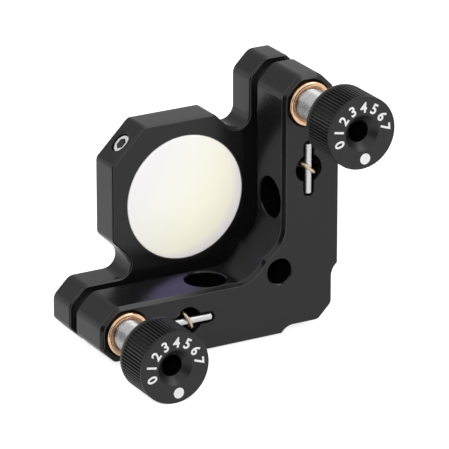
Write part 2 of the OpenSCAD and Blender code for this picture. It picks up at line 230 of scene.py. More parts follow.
class MountColours(bpy.types.PropertyGroup):
    anodised: colour("Anodising", "Black anodised plates", (0.004, 0.004, 0.0041))
    # Lighter strips along the edges of the plates: a painted edge highlight.
    worn_edge: colour("Worn edges", "Anodising worn at the edges of the plates", (0.036, 0.036, 0.0365))
    knob: colour("Knobs", "Black anodised knobs", (0.008, 0.008, 0.0082))
    bronze: colour("Bushings", "Phosphor bronze", (0.87, 0.57, 0.37))
    shank: colour("Screws", "Ground steel of the adjusters", (0.56, 0.57, 0.58))
    bright: colour("Bright steel", "Pivot ball and the balls in the screw tips", (0.78, 0.78, 0.79))
    lock: colour("Lock screw", "Satin nickel of the lock screw", (0.93, 0.93, 0.94))
    hard: colour("Seats", "Hardened steel seats", (0.32, 0.32, 0.33))
    pin: colour("Pins", "Ground dowel pins", (0.66, 0.66, 0.67))
    wire: colour("Springs", "Spring wire", (0.68, 0.55, 0.40))
    # Lilac to cream across the mirror back, lighter to the lower right as painted light against the arms'
    # shade.
    glass_left: colour("Mirror, left", "Mirror back on its lilac side", (0.815, 0.80, 0.805))
    glass_right: colour("Mirror, right", "Mirror back on its cream side", (0.98, 0.95, 0.79))
    # Painted shade inside the lower right rim of the mirror.
    glass_rim: colour("Mirror rim", "Shade inside the rim of the mirror", (0.85, 0.81, 0.805))
    glass_coat: colour("Mirror coating", "Reflecting front of the mirror", (0.90, 0.90, 0.92))
    # Seen only in reflections: a painted violet reflection low down, and painted grey shade elsewhere.
    glass_glow: colour("Mirror tint", "Tint of the coating in reflections, low down", (0.64, 0.53, 1.0))
    glass_side: colour("Mirror side tint", "Tint of the coating in other reflections", (0.38, 0.38, 0.38))
    nylon: colour("Nylon", "Tip of the lock screw", (0.80, 0.78, 0.70))
    mark: colour("Marks", "Paint in the index marks", (0.67, 0.67, 0.67))
    floor: colour("Floor", "Studio floor", (0.80, 0.80, 0.80))


class Step:
    """Builds its pieces with the sizes and the colours that the panel holds."""

    def execute(self, context):
        self.build(context.scene.mount_sizes, context.scene.mount_colours)
        return {"FINISHED"}


def mm(size):
    """A size from the panel, in millimetres."""
    return size / MM


# ------------------ drawing


def fillet(before, at, after, radius, steps):
    """Points of an arc that rounds the corner at a point."""
    one, two = (before - at).normalized(), (after - at).normalized()
    half = one.angle(two) / 2
    centre = at + (one + two).normalized() * radius / sin(half)
    start, end = at + one * radius / tan(half), at + two * radius / tan(half)
    swing = (start - centre).angle_signed(end - centre)
    return [centre + Matrix.Rotation(-swing * i / steps, 2) @ (start - centre) for i in range(steps + 1)]


def rounded(points, steps=6):
    """Closed outline from (x, y, radius, weight in, weight out). Each point out is (x, y, weight)."""
    out = []
    for i, (x, y, radius, first, last) in enumerate(points):
        at = Vector((x, y))
        if not radius:
            out.append((x, y, first))
            continue
        arc = fillet(Vector(points[i - 1][:2]), at, Vector(points[(i + 1) % len(points)][:2]), radius, steps)
        out += [(p.x, p.y, first + (last - first) * j / steps) for j, p in enumerate(arc)]
    return out


def arc_points(centre, radius, start, end, steps, weight=0.0):
    """Points of an arc, angles in degrees, in the form that rounded() takes."""
    angles = [radians(start + (end - start) * i / steps) for i in range(steps + 1)]
    x, y = centre
    return [(x + radius * cos(a), y + radius * sin(a), 0, weight, weight) for a in angles]


def swapped(points):
    """The same points with the arms swapped, in the order that goes on round the plate."""
    return [(y, x, r, last, first) for x, y, r, first, last in reversed(points)]


def inward(outline):
    """For each point, the move that sets both of its edges one millimetre in."""
    n = len(outline)
    area = sum(outline[i - 1][0] * outline[i][1] - outline[i][0] * outline[i - 1][1] for i in range(n))
    side = 1 if area > 0 else -1
    normals = []
    for i in range(n):
        run = (Vector(outline[(i + 1) % n][:2]) - Vector(outline[i][:2])).normalized()
        normals.append(Vector((-run.y, run.x)) * side)
    return [(normals[i - 1] + normals[i]) / (1 + normals[i - 1].dot(normals[i])) for i in range(n)]


def ring(bm, outline, moves, inset, depth):
    """Ring of vertices at a depth. inset gives how far in a point moves, from its weight."""
    return [
        bm.verts.new((x + move.x * inset(weight), y + move.y * inset(weight), depth))
        for (x, y, weight), move in zip(outline, moves)
    ]


def band(bm, one, two):
    """Faces between two rings, in their order. Either may be a single point."""
    n = max(len(one), len(two))
    faces = []
    for i in range(n):
        j = (i + 1) % n
        quad = [one[i % len(one)], one[j % len(one)], two[j % len(two)], two[i % len(two)]]
        face = list(dict.fromkeys(quad))
        faces.append(bm.faces.new(face) if len(face) > 2 else None)
    return faces


def skin(bm, loops, closed=False, ends=False):
    """Faces from each ring to the next, and back to the first or with flat ends if asked."""
    for one, two in zip(loops, loops[1:] + loops[:1] if closed else loops[1:]):
        band(bm, one, two)
    if ends:
        bm.faces.new(loops[0])
        bm.faces.new(loops[-1])
    return bm


def polar(radius, angle, z):
    return radius * cos(angle), radius * sin(angle), z


def round_inset(depth, radius):
    """Inset of a rounded edge at a depth below its face."""
    return radius - sqrt(max(0.0, radius**2 - max(0.0, radius - depth) ** 2))


def chamfer_inset(depth, leg, soft=0.05):
    """Inset of a chamfer with slightly softened ends."""
    line = [(0.0, leg + soft), (soft, leg - soft), (leg - soft, soft), (leg + soft, 0.0)]
    for (d0, i0), (d1, i1) in zip(line, line[1:]):
        if depth <= d1:
            return i0 + (i1 - i0) * (depth - d0) / (d1 - d0)
    return 0.0


def slab(outline, thickness, leg, edge):
    """Plate of a given outline. Points of weight 1 have a chamfer on the rear edge.

    The narrow strips along its edges get material 1, a lighter finish that paints a highlight along them.
    """
    bm = bmesh.new()
    moves = inward(outline)
    soft = 0.05
    steps = [0.0, 0.08 * edge, 0.3 * edge, 0.6 * edge, edge]
    rear = sorted({round(d, 4) for d in steps + [soft, leg - soft, leg + soft]})
    depths = rear + [thickness - d for d in reversed(steps)]
    rings = []
    for depth in depths:
        rounds = round_inset(min(depth, thickness - depth), edge)
        cut = chamfer_inset(depth, leg, soft) if depth in rear else rounds
        rings.append(ring(bm, outline, moves, lambda w: rounds + (cut - rounds) * w, depth))
    for k, (one, two) in enumerate(zip(rings, rings[1:])):
        start, end = depths[k], depths[k + 1]
        in_round = [0.07 * edge < min(d, thickness - d) < 0.61 * edge for d in (start, end)]
        in_chamfer = end < soft * 1.1 or leg - soft * 1.1 < start and end < leg + soft * 1.1
        for i, face in enumerate(band(bm, one, two)):
            cut = outline[i][2] > 0.5 and start < thickness / 2
            face.material_index = int(in_chamfer if cut else all(in_round))
    bm.faces.new(rings[0])
    bm.faces.new(rings[-1])
    return bm


def lathe(profile, sides=96, closed=False):
    """Turns a profile of (radius, z) points about the z axis."""
    bm = bmesh.new()
    rings = []
    for r, z in profile:
        angles = [2 * pi * i / sides for i in range(sides)] if r > 1e-9 else [0.0]
        rings.append([bm.verts.new(polar(r, a, z)) for a in angles])
    return skin(bm, rings, closed)


def turned(points, sides=96, closed=False, steps=4):
    """Lathe work from (radius, z, edge radius) points."""
    flat = rounded([(r, z, e, 0, 0) for r, z, e in points], steps)
    return lathe([(r, z) for r, z, _ in flat], sides, closed)


def screw_thread(form, pitch, start, end, limit, sides=48):
    """Solid with a helical thread. form lists the radii over one pitch, and limit(z) the largest radius."""
    bm = bmesh.new()
    levels = len(form)
    first = floor(start / pitch) - 1
    rows = (ceil(end / pitch) + 1 - first) * levels
    grid = []
    for k in range(rows + levels + 1):
        row = []
        for j in range(sides):
            z = min(max((first + (k + levels * j / sides) / levels) * pitch, start), end)
            r = min(form[k % levels], limit(z))
            row.append(bm.verts.new(polar(r, 2 * pi * j / sides, z)))
        grid.append(row)
    for k in range(rows):
        for j in range(sides):
            up = (k + levels, 0) if j == sides - 1 else (k, j + 1)
            a, b = grid[k][j], grid[up[0]][up[1]]
            c, d = grid[up[0] + 1][up[1]] if up[0] + 1 < len(grid) else None, grid[k + 1][j]
            if c is not None:
                bm.faces.new((a, b, c, d))
    bmesh.ops.remove_doubles(bm, verts=bm.verts, dist=1e-5)
    bmesh.ops.dissolve_degenerate(bm, edges=bm.edges, dist=1e-6)
    bmesh.ops.holes_fill(bm, edges=[e for e in bm.edges if e.is_boundary], sides=0)
    return bm


def drill(radius, start, end, low=0.0, high=0.0, sides=96):
    """Cutter for a round hole with chamfers at its two mouths."""
    points = [(0, start - OVER), (radius + (low + OVER if low else 0), start - OVER)]
    if low:
        points.append((radius, start + low))
    if high:
        points.append((radius, end - high))
    points += [(radius + (high + OVER if high else 0), end + OVER), (0, end + OVER)]
    return lathe(points, sides)


def stadium_cut(width, span, depth, mouth):
    """Cutter for a slot along y with round ends, open at z = 0."""
    half = (span - width) / 2
    ends = arc_points((0, half), width / 2, 0, 180, 20) + arc_points((0, -half), width / 2, 180, 360, 20)
    outline = [(x, y, 0.0) for x, y, *_ in ends]
    moves = inward(outline)
    bm = bmesh.new()
    steps = ((-OVER, -OVER - mouth), (mouth, 0.0), (depth, 0.0))
    rings = [ring(bm, outline, moves, lambda w, inset=inset: inset, z) for z, inset in steps]
    return skin(bm, rings, ends=True)


def hexagon(flats, start, end):
    """Cutter for a hexagon socket."""
    corner = flats / sqrt(3)
    return lathe([(0, start), (corner, start), (corner, end), (0, end)], 6)


def moved(bm, u=0.0, w=0.0, d=0.0, turn=None):
    """Moves a cutter or part within its own coordinates."""
    if turn is not None:
        bm.transform(turn.to_4x4())
    bm.transform(Matrix.Translation((u, w, d)))
    return bm


def put(name, data):
    """New object in the scene."""
    thing = bpy.data.objects.new(name, data)
    bpy.context.scene.collection.objects.link(thing)
    return thing


def tidy_mesh(name, bm):
    bmesh.ops.recalc_face_normals(bm, faces=bm.faces)
    mesh = bpy.data.meshes.new(name)
    bm.to_mesh(mesh)
    bm.free()
    return mesh


def cut_from(name, bm, cutters):
    """Mesh of a solid with every cutter taken out of it."""
    body = put(name, tidy_mesh(name, bm))
    tools = []
    for cutter in cutters:
        tool = put("cutter", tidy_mesh("cutter", cutter))
        tools.append(tool)
        step = body.modifiers.new("cut", "BOOLEAN")
        step.operation, step.solver, step.object = "DIFFERENCE", "MANIFOLD", tool
    graph = bpy.context.evaluated_depsgraph_get()
    mesh = bpy.data.meshes.new_from_object(body.evaluated_get(graph))
    for spare in [body, *tools]:
        old = spare.data
        bpy.data.objects.remove(spare)
        bpy.data.meshes.remove(old)
    mesh.name = name
    if not mesh.polygons:
        raise RuntimeError(f"{name} came out of its cuts empty")
    return mesh


def add_piece(name, shape, matrix, finish, node, smooth=38.0):
    """Puts a shape, drawn in millimetres, in its place on the mount. It stands for a CAD node, if given."""
    mesh = tidy_mesh(name, shape) if isinstance(shape, bmesh.types.BMesh) else shape
    mesh.transform(Matrix.Scale(MM, 4))
    if mesh.materials:
        mesh.materials[0] = finish
    else:
        mesh.materials.append(finish)
    mesh.shade_smooth()
    mesh.set_sharp_from_angle(angle=radians(smooth))
    piece = put(name, mesh)
    piece.matrix_world = matrix
    step = piece.modifiers.new("Weighted normals", "WEIGHTED_NORMAL")
    step.keep_sharp = True
    step.weight = 80
    if node:
        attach(piece, body_of(frame["nodes"][node])[0])
        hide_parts(node)
    return piece


def add_second(piece, finish, inside):
    """Gives another finish to the faces whose centre, in millimetres, is inside some part of the piece."""
    slot = len(piece.data.materials)
    piece.data.materials.append(finish)
    for face in piece.data.polygons:
        if inside(face.center / MM):
            face.material_index = slot


# ------------------ finishes


def feed(tree, node, values):
    """Gives each named input of a node its number or colour, or the socket that feeds it."""
    for label, value in values.items():
        if isinstance(value, bpy.types.NodeSocket):
            tree.links.new(value, node.inputs[label])
        else:
            node.inputs[label].default_value = value


def add_node(tree, kind, values, **settings):
    """Adds a shader node with its settings, and feeds its inputs."""
    node = tree.nodes.new("ShaderNode" + kind)
    for label, value in settings.items():
        setattr(node, label, value)
    feed(tree, node, values)
    return node


def on_piece(tree):
    """Coordinates that stay with the piece."""
    return add_node(tree, "TexCoord", {}).outputs["Object"]


def noise(tree, scale, detail, vector, dimensions="3D"):
    values = {"Scale": scale, "Detail": detail, "Vector": vector}
    return add_node(tree, "TexNoise", values, noise_dimensions=dimensions).outputs["Fac"]


def stretched(tree, where, factors):
    return add_node(tree, "VectorMath", {0: where, 1: factors}, operation="MULTIPLY").outputs[0]


def level(tree, mask, low, high, start=0.0, end=1.0):
    """Spreads a mask's values from start to end over the values from low to high."""
    values = {"Value": mask, "From Min": start, "From Max": end, "To Min": low, "To Max": high}
    return add_node(tree, "MapRange", values).outputs["Result"]


def maths(tree, one, two, operation="MULTIPLY"):
    """One operation on two values."""
    return add_node(tree, "Math", {0: one, 1: two}, operation=operation).outputs[0]


def blended(tree, mask, one, two):
    """Colour that goes from one to two with a mask."""
    ends = [part if isinstance(part, bpy.types.NodeSocket) else (*part, 1.0) for part in (one, two)]
    return add_node(tree, "Mix", {"Factor": mask, 6: ends[0], 7: ends[1]}, data_type="RGBA").outputs[2]


def marks_group(name, build, inputs):
    """Shader group of surface marks, built once. It puts out their Height and a Tone."""
    if name in bpy.data.node_groups:
        return bpy.data.node_groups[name]
    group = bpy.data.node_groups.new(name, "ShaderNodeTree")
    for label, value in inputs.items():
        group.interface.new_socket(label, in_out="INPUT", socket_type="NodeSocketFloat").default_value = value
    for label in ("Height", "Tone"):
        group.interface.new_socket(label, in_out="OUTPUT", socket_type="NodeSocketFloat")
    start, end = group.nodes.new("NodeGroupInput"), group.nodes.new("NodeGroupOutput")
    height, tone = build(group, start.outputs, on_piece(group))
    feed(group, end, {"Height": height, "Tone": tone})
    return group


def grain_marks(tree, given, where):
    """Fine etched grain with a broad drift in tone."""
    return noise(tree, given["Grain"], 2.0, where), noise(tree, given["Drift"], 3.0, where)


def mill_marks(tree, given, where):
    """Cutter marks that run along the sides of a plate, and a soft drift in tone."""
    along, drift = stretched(tree, where, (0.03, 0.03, 1.0)), stretched(tree, where, (0.3, 0.3, 1.6))
    return noise(tree, given["Lines"], 3.0, along), noise(tree, 220.0, 3.0, drift)


def lathe_marks(tree, given, where):
    """Fine rings left by a lathe, round the piece's own axis."""
    flat = stretched(tree, where, (1.0, 1.0, 0.0))
    reach = add_node(tree, "VectorMath", {0: flat}, operation="LENGTH").outputs["Value"]
    height = add_node(tree, "SeparateXYZ", {0: where}).outputs["Z"]
    spot = add_node(tree, "CombineXYZ", {"X": reach, "Y": height}).outputs[0]
    return noise(tree, given["Rings"], 2.0, spot, "2D"), noise(tree, 900.0, 2.0, spot, "2D")


def etched(grain=9000.0, drift=60.0):
    return "Etched grain", grain_marks, {"Grain": grain, "Drift": drift}


def milled(lines=3000.0):
    return "Milled marks", mill_marks, {"Lines": lines}


def ringed(fineness=6000.0):
    return "Turned rings", lathe_marks, {"Rings": fineness}


def scaled(value, factor):
    return tuple(min(1.0, part * factor) for part in value)


def new_finish(name, base, rough, marks, metal=0.0, spread=0.06, relief=2.0, tone=0.12, specular=0.5):
    """Material whose marks vary its colour by tone and its roughness by spread. relief is in microns."""
    if name in bpy.data.materials:
        return bpy.data.materials[name]
    finish = bpy.data.materials.new(name)
    finish.use_nodes = True
    tree = finish.node_tree
    surface = add_node(tree, "Group", marks[2], node_tree=marks_group(*marks)).outputs
    bump = add_node(tree, "Bump", {"Distance": relief * MICRON, "Height": surface["Height"]})
    values = {
        "Metallic": metal,
        "Specular IOR Level": specular,
        "Base Color": blended(tree, surface["Tone"], scaled(base, 1 - tone), scaled(base, 1 + tone)),
        "Roughness": level(tree, surface["Tone"], rough - spread, rough + spread, *NOISE_SPAN),
        "Normal": bump.outputs["Normal"],
    }
    feed(tree, tree.nodes["Principled BSDF"], values)
    return finish


def blackened(c):
    """Painted shade: dead black for deep bores and sockets."""
    return new_finish("Bore painted with shade", scaled(c.knob, 0.15), 0.6, ringed(5000.0), specular=0.0)


# ------------------ pieces


def back_outline(s):
    """Outline of the back plate, clockwise from the outer corner."""
    soft = mm(s.corner_round)
    step = sqrt(RELIEF_R**2 - (RELIEF_R - RELIEF) ** 2)
    swing = degrees(asin(step / RELIEF_R))
    low, high = AXIS_AT - PAD_HALF - step, AXIS_AT + PAD_HALF + step
    arc_at = ARM_W + INNER_RUN
    total = ARM_W + INNER_R + arc_at
    kink = (total - sqrt(2 * INNER_R**2 - (INNER_RUN - INNER_R) ** 2)) / 2
    arc_end = degrees(atan2(kink - arc_at, kink - ARM_W - INNER_R)) % 360
    side = [(RELIEF, RELIEF + OUTER_FACET, FACET_R, 0, 0)]
    side += arc_points((RELIEF - RELIEF_R, low), RELIEF_R, 0, swing, 8)
    side += arc_points((RELIEF - RELIEF_R, high), RELIEF_R, -swing, 0, 8)
    side += tip_points(soft)
    side += arc_points((ARM_W + INNER_R, arc_at), INNER_R, 180, arc_end, 14, 1.0)
    return rounded(side + swapped(side)[1:])


def tip_points(soft):
    """From the outer side of an arm round its tip to its inner face."""
    return [
        (RELIEF, ARM_LEN - OUTER_FACET, FACET_R, 0, 0),
        (RELIEF + OUTER_FACET, ARM_LEN, FACET_R, 0, 1),
        (ARM_W - TIP_FACET, ARM_LEN, soft, 1, 1),
        (ARM_W, ARM_LEN - TIP_FACET, soft, 1, 1),
    ]


def front_outline(s):
    """Outline of the front plate, clockwise from the outer corner."""
    slant = ARM_W + CELL_HALF * sqrt(2)
    notch = (ARM_W + NOTCH_R, slant + NOTCH_R * (1 + sqrt(2)))
    cell_low = AXIS_AT - CELL_HALF * tan(radians(22.5))
    cell_top = AXIS_AT + CELL_HALF
    lock_corner = 2 * AXIS_AT + LOCK_FACE * sqrt(2) - cell_top
    side = [(RELIEF, RELIEF + OUTER_FACET, FACET_R, 0, 0)] + tip_points(mm(s.corner_round))
    side += arc_points(notch, NOTCH_R, 180, 315, 18, 1.0)
    side += [(cell_low, cell_top, CELL_R, 1, 1), (lock_corner, cell_top, CELL_R, 1, 1)]
    return rounded(side + swapped(side))


def both_arms(make):
    """The same cutter on both arms. make gives it at (u, w) for an arm along w."""
    swap = Matrix(((0, 1, 0, 0), (1, 0, 0, 0), (0, 0, 1, 0), (0, 0, 0, 1)))
    other = make()
    other.transform(swap)
    return [make(), other]


def hole_thread(pitch, start, end, crest, root):
    """Cutter with the shape of a tapped hole."""
    slope = (crest + root) / 2
    form = [root, root, slope, crest, crest, crest, slope, root]
    low, high = start - OVER, end + OVER
    return screw_thread(form, pitch, low, high, lambda z: crest if z in (low, high) else root)


def back_plate_mesh(s):
    bush, spring, ball = Place("upper_bushing"), Place("upper_spring"), Place("pivot_ball")
    body = slab(back_outline(s), BACK_T, mm(s.rear_chamfer), mm(s.edge_break))
    post = (0, AXIS_AT, BACK_T / 2, Matrix.Rotation(pi / 2, 3, "Y"))
    head = ARM_W - POST_HEAD_DEEP + OVER
    pin_w = bush.w - SPRING_BACK
    cutters = both_arms(lambda: moved(drill(BUSHING_R, 0, BACK_T, 0.45, 0.2), bush.u, bush.w))
    cutters += both_arms(lambda: moved(drill(SPRING_HOLE_R, 0, BACK_T, 0.12, 0.15), spring.u, pin_w))
    cutters += both_arms(lambda: moved(stadium_cut(*PIN_SLOT), bush.u, pin_w))
    cutters += both_arms(lambda: moved(drill(POST_R, 0, ARM_W, 0.25), *post))
    cutters += both_arms(lambda: moved(drill(POST_HEAD_R, head, ARM_W, 0, 0.22), *post))
    corner = hole_thread(mm(s.hole_pitch), 0, BACK_T, CORNER_CREST, CORNER_ROOT)
    mouth = lathe([(0, -OVER), (2.8 + OVER, -OVER), (2.55, 0.25), (0, 0.25)])
    cutters += [moved(corner, CORNER_HOLE, CORNER_HOLE), moved(mouth, CORNER_HOLE, CORNER_HOLE)]
    tip = ball.middle - (ball.radius + BALL_GAP) * sqrt(2)
    rim = BACK_T + OVER
    cutters.append(moved(lathe([(0, tip), (rim - tip, rim), (0, rim)]), ball.u, ball.w))
    return cut_from("back_plate_body", body, cutters)


def front_plate_mesh(s):
    bush, mirror = Place("upper_bushing"), Place("mirror")
    thick = FRONT_END - FRONT_D
    pin_w = bush.w - SPRING_BACK
    body = slab(front_outline(s), thick, mm(s.front_chamfer), 0.25)
    flip = Matrix.Rotation(pi, 3, "Y")
    cutters = both_arms(lambda: moved(drill(SEAT_R, -1, SEAT_DEEP), bush.u, bush.w))
    cutters.append(moved(drill(SEAT_R, -1, SEAT_DEEP), bush.u, bush.u))
    cutters += both_arms(lambda: moved(drill(SPRING_HOLE_R, 0, thick, 0.15, 0.12), bush.u, pin_w))
    cutters += both_arms(lambda: moved(stadium_cut(*PIN_SLOT), bush.u, pin_w, thick, flip))
    cell = drill(mirror.radius + 0.05, 0, mirror.end - FRONT_D - OVER, 0.16)
    window = drill(mirror.radius - CELL_LIP, 1, thick, 0, 0.3)
    cutters += [moved(cell, mirror.u, mirror.w), moved(window, mirror.u, mirror.w)]
    diagonal = Matrix.Rotation(pi / 4, 3, "Z") @ Matrix.Rotation(pi / 2, 3, "Y")
    lock = hole_thread(mm(s.lock_pitch), mirror.radius, LOCK_FACE, LOCK_CREST, LOCK_ROOT)
    cutters.append(moved(lock, mirror.u, mirror.w, thick / 2, diagonal))
    return cut_from("front_plate_body", body, cutters)


def plate_finish(name, base, rough=0.24, specular=0.42, tone=0.15):
    return new_finish(name, base, rough, milled(), spread=0.03, relief=1.0, tone=tone, specular=specular)


def in_plate_hole(at):
    """Whether a point of the back plate, in millimetres, is inside one of the holes whose walls are painted
    dark as shade.
    """
    if hypot(at.x - CORNER_HOLE, at.y - CORNER_HOLE) < CORNER_ROOT + 0.05:
        return 0.75 < at.z < BACK_T - 0.1
    for along, across in ((at.x, at.y), (at.y, at.x)):
        reach = hypot(across - AXIS_AT, at.z - BACK_T / 2)
        if reach < POST_HEAD_R + 0.05 and 0.3 < along < ARM_W - 0.24:
            return True
    return False


class MOUNT_OT_plates(Step, bpy.types.Operator):
    """Build the back plate and the front plate with its mirror cell"""

    bl_idname = "mirror_mount.plates"
    bl_label = "Plates"

    def build(self, s, c):
        # Lighter finish for the edge strips: a painted highlight along the edges.
        highlighted = plate_finish("Anodising worn at the edges", c.worn_edge, 0.34, tone=0.8)
        # The walls deep in the holes get a dead dark finish: painted shade.
        hole = plate_finish("Anodising painted dark in the holes", scaled(c.anodised, 0.3), 0.6, 0.0)
        finish = plate_finish("Black anodised back plate", c.anodised)
        mesh = back_plate_mesh(s)
        back = add_piece("back_plate_body", mesh, stand(), finish, "back_plate")
        finish = plate_finish("Black anodised front plate", scaled(c.anodised, 0.95))
        mesh, place = front_plate_mesh(s), stand(d=FRONT_D)
        front = add_piece("front_plate_body", mesh, place, finish, "front_plate")
        for plate in (back, front):
            plate.data.materials.append(highlighted)
        add_second(back, hole, in_plate_hole)
        # The rear rim of the mirror cell gets the lighter edge finish too, a painted highlight.
        mirror, points = Place("mirror"), front.data.vertices
        rim = mirror.radius + 0.3
        for face in front.data.polygons:
            spots = [points[i].co / MM for i in face.vertices]
            if all(p.z < 0.2 and hypot(p.x - mirror.u, p.y - mirror.w) < rim for p in spots):
                face.material_index = 1


# How far the centre of the painted rim shade moves up and left, in metres.
RIM_SHADE_SHIFT = 0.0026


def across_mirror(tree, axis, start, end):
    """Mask that goes from 0 to 1 across the mirror, along one direction of its face."""
    along = add_node(tree, "VectorMath", {0: on_piece(tree), 1: axis}, operation="DOT_PRODUCT")
    return level(tree, along.outputs["Value"], 0.0, 1.0, start, end)


def mirror_back_finish(c, radius):
    """Ground back of the mirror: lilac to cream, painted lighter to the lower right against the arms' shade,
    with a painted rim shade, and painted violet and grey where other pieces reflect it.
    """
    finish = new_finish("Ground mirror back", c.glass_left, 0.45, etched(14000.0, 90.0), relief=0.6)
    tree = finish.node_tree
    # Lilac to cream, lighter to the lower right: painted light that evens out the shade of the arms.
    plain = blended(tree, across_mirror(tree, (-0.8, -0.6, 0), -0.0105, 0.0045), c.glass_left, c.glass_right)
    # Painted shade band inside the lower right rim, round a centre moved up and to the left.
    centre = (0.788 * RIM_SHADE_SHIFT, 0.617 * RIM_SHADE_SHIFT, 0)
    reach = add_node(tree, "VectorMath", {0: on_piece(tree), 1: centre}, operation="DISTANCE")
    rim = level(tree, reach.outputs["Value"], 0.0, 1.0, radius * MM - 0.0003, radius * MM + 0.0018)
    seen = blended(tree, rim, plain, c.glass_rim)
    # Only in reflections: painted violet reflection low down, painted grey shade elsewhere.
    low = across_mirror(tree, (0, -1, 0), 0.006, 0.0085)
    violet_patch = maths(tree, low, across_mirror(tree, (1, 0, 0), -0.0034, -0.0008))
    tint = blended(tree, violet_patch, c.glass_side, c.glass_glow)
    light = add_node(tree, "LightPath", {}).outputs["Is Glossy Ray"]
    feed(tree, tree.nodes["Principled BSDF"], {"Base Color": blended(tree, light, seen, tint)})
    return finish


class MOUNT_OT_mirror(Step, bpy.types.Operator):
    """Build the round mirror"""

    bl_idname = "mirror_mount.mirror"
    bl_label = "Mirror"

    def build(self, s, c):
        at = Place("mirror")
        disc = pin_shape(at.radius, at.long, 0.18, 160)
        back = mirror_back_finish(c, at.radius)
        piece = add_piece("mirror_glass", disc, at.matrix(), back, "mirror")
        coat = new_finish(
            "Mirror coating", c.glass_coat, 0.04, etched(2000.0, 60.0), metal=1.0, spread=0.01, relief=0.0
        )
        add_second(piece, coat, lambda spot: spot.z > at.long - 0.01)


def pin_shape(radius, long, edge, sides):
    """Round pin or disc with rounded edges."""
    bm = turned([(0, 0, 0), (radius, 0, edge), (radius, long, edge), (0, long, 0)], sides)
    bmesh.ops.remove_doubles(bm, verts=bm.verts, dist=1e-6)
    return bm


class MOUNT_OT_bushings(Step, bpy.types.Operator):
    """Build the bronze bushings of both adjusters"""

    bl_idname = "mirror_mount.bushings"
    bl_label = "Bushings"

    def build(self, s, c):
        finish = new_finish(
            "Phosphor bronze", c.bronze, 0.15, ringed(4000.0), metal=1.0, spread=0.05, relief=0.5, tone=0.1
        )
        quarter_turn = [pi / 2 * i / 8 for i in range(9)]
        bore, rim = BUSHING_BORE, BUSHING_R
        lip, top = rim - LIP_WIDE, -LIP_OUT
        front = [(bore, 0.2, 0), (bore, -0.12, 0.03), (lip - 0.07, top, 0.05), (lip, top + 0.09, 0.02)]
        front += [(lip + LIP_WIDE * sin(a), 0.12 - 0.46 * cos(a), 0) for a in quarter_turn]
        for arm in ARMS:
            node = arm + "_bushing"
            at = Place(node)
            profile = front + [(rim, at.long, 0.05), (bore, at.long, 0.05)]
            add_piece(node + "_body", turned(profile, 128, True), at.matrix(), finish, node)


class MOUNT_OT_screws(Step, bpy.types.Operator):
    """Build the fine adjuster screws with their threads"""

    bl_idname = "mirror_mount.screws"
    bl_label = "Adjuster screws"

    def build(self, s, c):
        finish = new_finish(
            "Ground screw steel", c.shank, 0.26, ringed(2500.0), metal=1.0, spread=0.04, relief=0.4, tone=0.16
        )
        for arm in ARMS:
            node = arm + "_screw"
            at, ball = Place(node), Place(arm + "_tip_ball")
            r = at.radius

            def limit(z, nose=at.long - 1.6, top=at.long, r=r):
                if z < 0.5:
                    return r - 0.5 + z
                return r if z < nose else r - 0.16 - 0.8 * max(0.0, (z - nose - 1.1) / (top - nose))

            form = [r, r, r, r - 0.06, r - 0.12, r - 0.06]
            body = screw_thread(form, mm(s.screw_pitch), 0.0, at.long, limit)
            cup = moved(ball_mesh(ball.radius + BALL_GAP), 0, 0, ball.middle - at.start)
            mesh = cut_from(node + "_body", body, [cup, hexagon(2.0, -OVER, SOCKET_DEEP)])
            piece = add_piece(node + "_body", mesh, at.matrix(), finish, node, 80)
            core = r - 0.05

            def in_tail(spot, core=core):
                return spot.z < SOCKET_DEEP + 0.2 and spot.xy.length < core or spot.z < 0.6

            # The socket and the tail end, which sit in the knob's bore, are painted black as shade.
            add_second(piece, blackened(c), in_tail)


def ball_mesh(radius):
    angles = [pi * i / 32 for i in range(33)]
    return lathe([(radius * sin(a), -radius * cos(a)) for a in angles], 64)


class MOUNT_OT_balls(Step, bpy.types.Operator):
    """Build the pivot ball and the balls in the screw tips"""

    bl_idname = "mirror_mount.balls"
    bl_label = "Balls"

    def build(self, s, c):
        finish = new_finish(
            "Polished ball steel", c.bright, 0.12, etched(12000.0, 300.0), metal=1.0, spread=0.03, relief=0.3
        )
        for node in ("pivot_ball", "upper_tip_ball", "lower_tip_ball"):
            at = Place(node)
            matrix = stand(at.u, at.w, at.middle)
            add_piece(node + "_body", ball_mesh(at.radius), matrix, finish, node)


def knob_mesh(s, radius, deep, seat):
    """Knob drawn with its rear face at z = deep and its outer face at z = 0."""
    teeth, groove = s.knurl_teeth, mm(s.knurl_depth)
    wave = [0.0, 0.0, 0.0, 0.5, 1.0, 1.0, 1.0, 0.5]
    sides = teeth * len(wave)
    rear, front = mm(s.knurl_rear), deep - mm(s.knurl_face)
    # Each is how far in from the rim, how far from the rear face, and whether the knurl cuts it
    run = [
        (0.62, 0, 0), (0.5, 0.02, 0), (0.22, 0.2, 0), (0.06, 0.42, 0), (0, 0.62, 0), (0, rear, 0),
        (0, rear + 0.22, 1), (0, front - 0.22, 1), (0, front, 0), (0, deep - 0.2, 0), (0.05, deep - 0.08, 0),
        (0.16, deep - 0.01, 0), (0.26, deep, 0),
    ]
    run = [(radius - inset, z, cut) for inset, z, cut in run]
    run += [(KNOB_CUP_R, deep, 0), (KNOB_HOLE_R, deep - 1.48, 0), (KNOB_HOLE_R, seat, 0)]
    run = [(SCREW_SEAT_R, 0, 0), *run, (SCREW_SEAT_R, seat, 0)]
    round_rim = [(2 * pi * (i + 0.5) / sides, groove * wave[i % len(wave)]) for i in range(sides)]
    bm = bmesh.new()
    loops = [[bm.verts.new(polar(r - cut * dip, a, deep - z)) for a, dip in round_rim] for r, z, cut in run]
    return skin(bm, loops, closed=True)


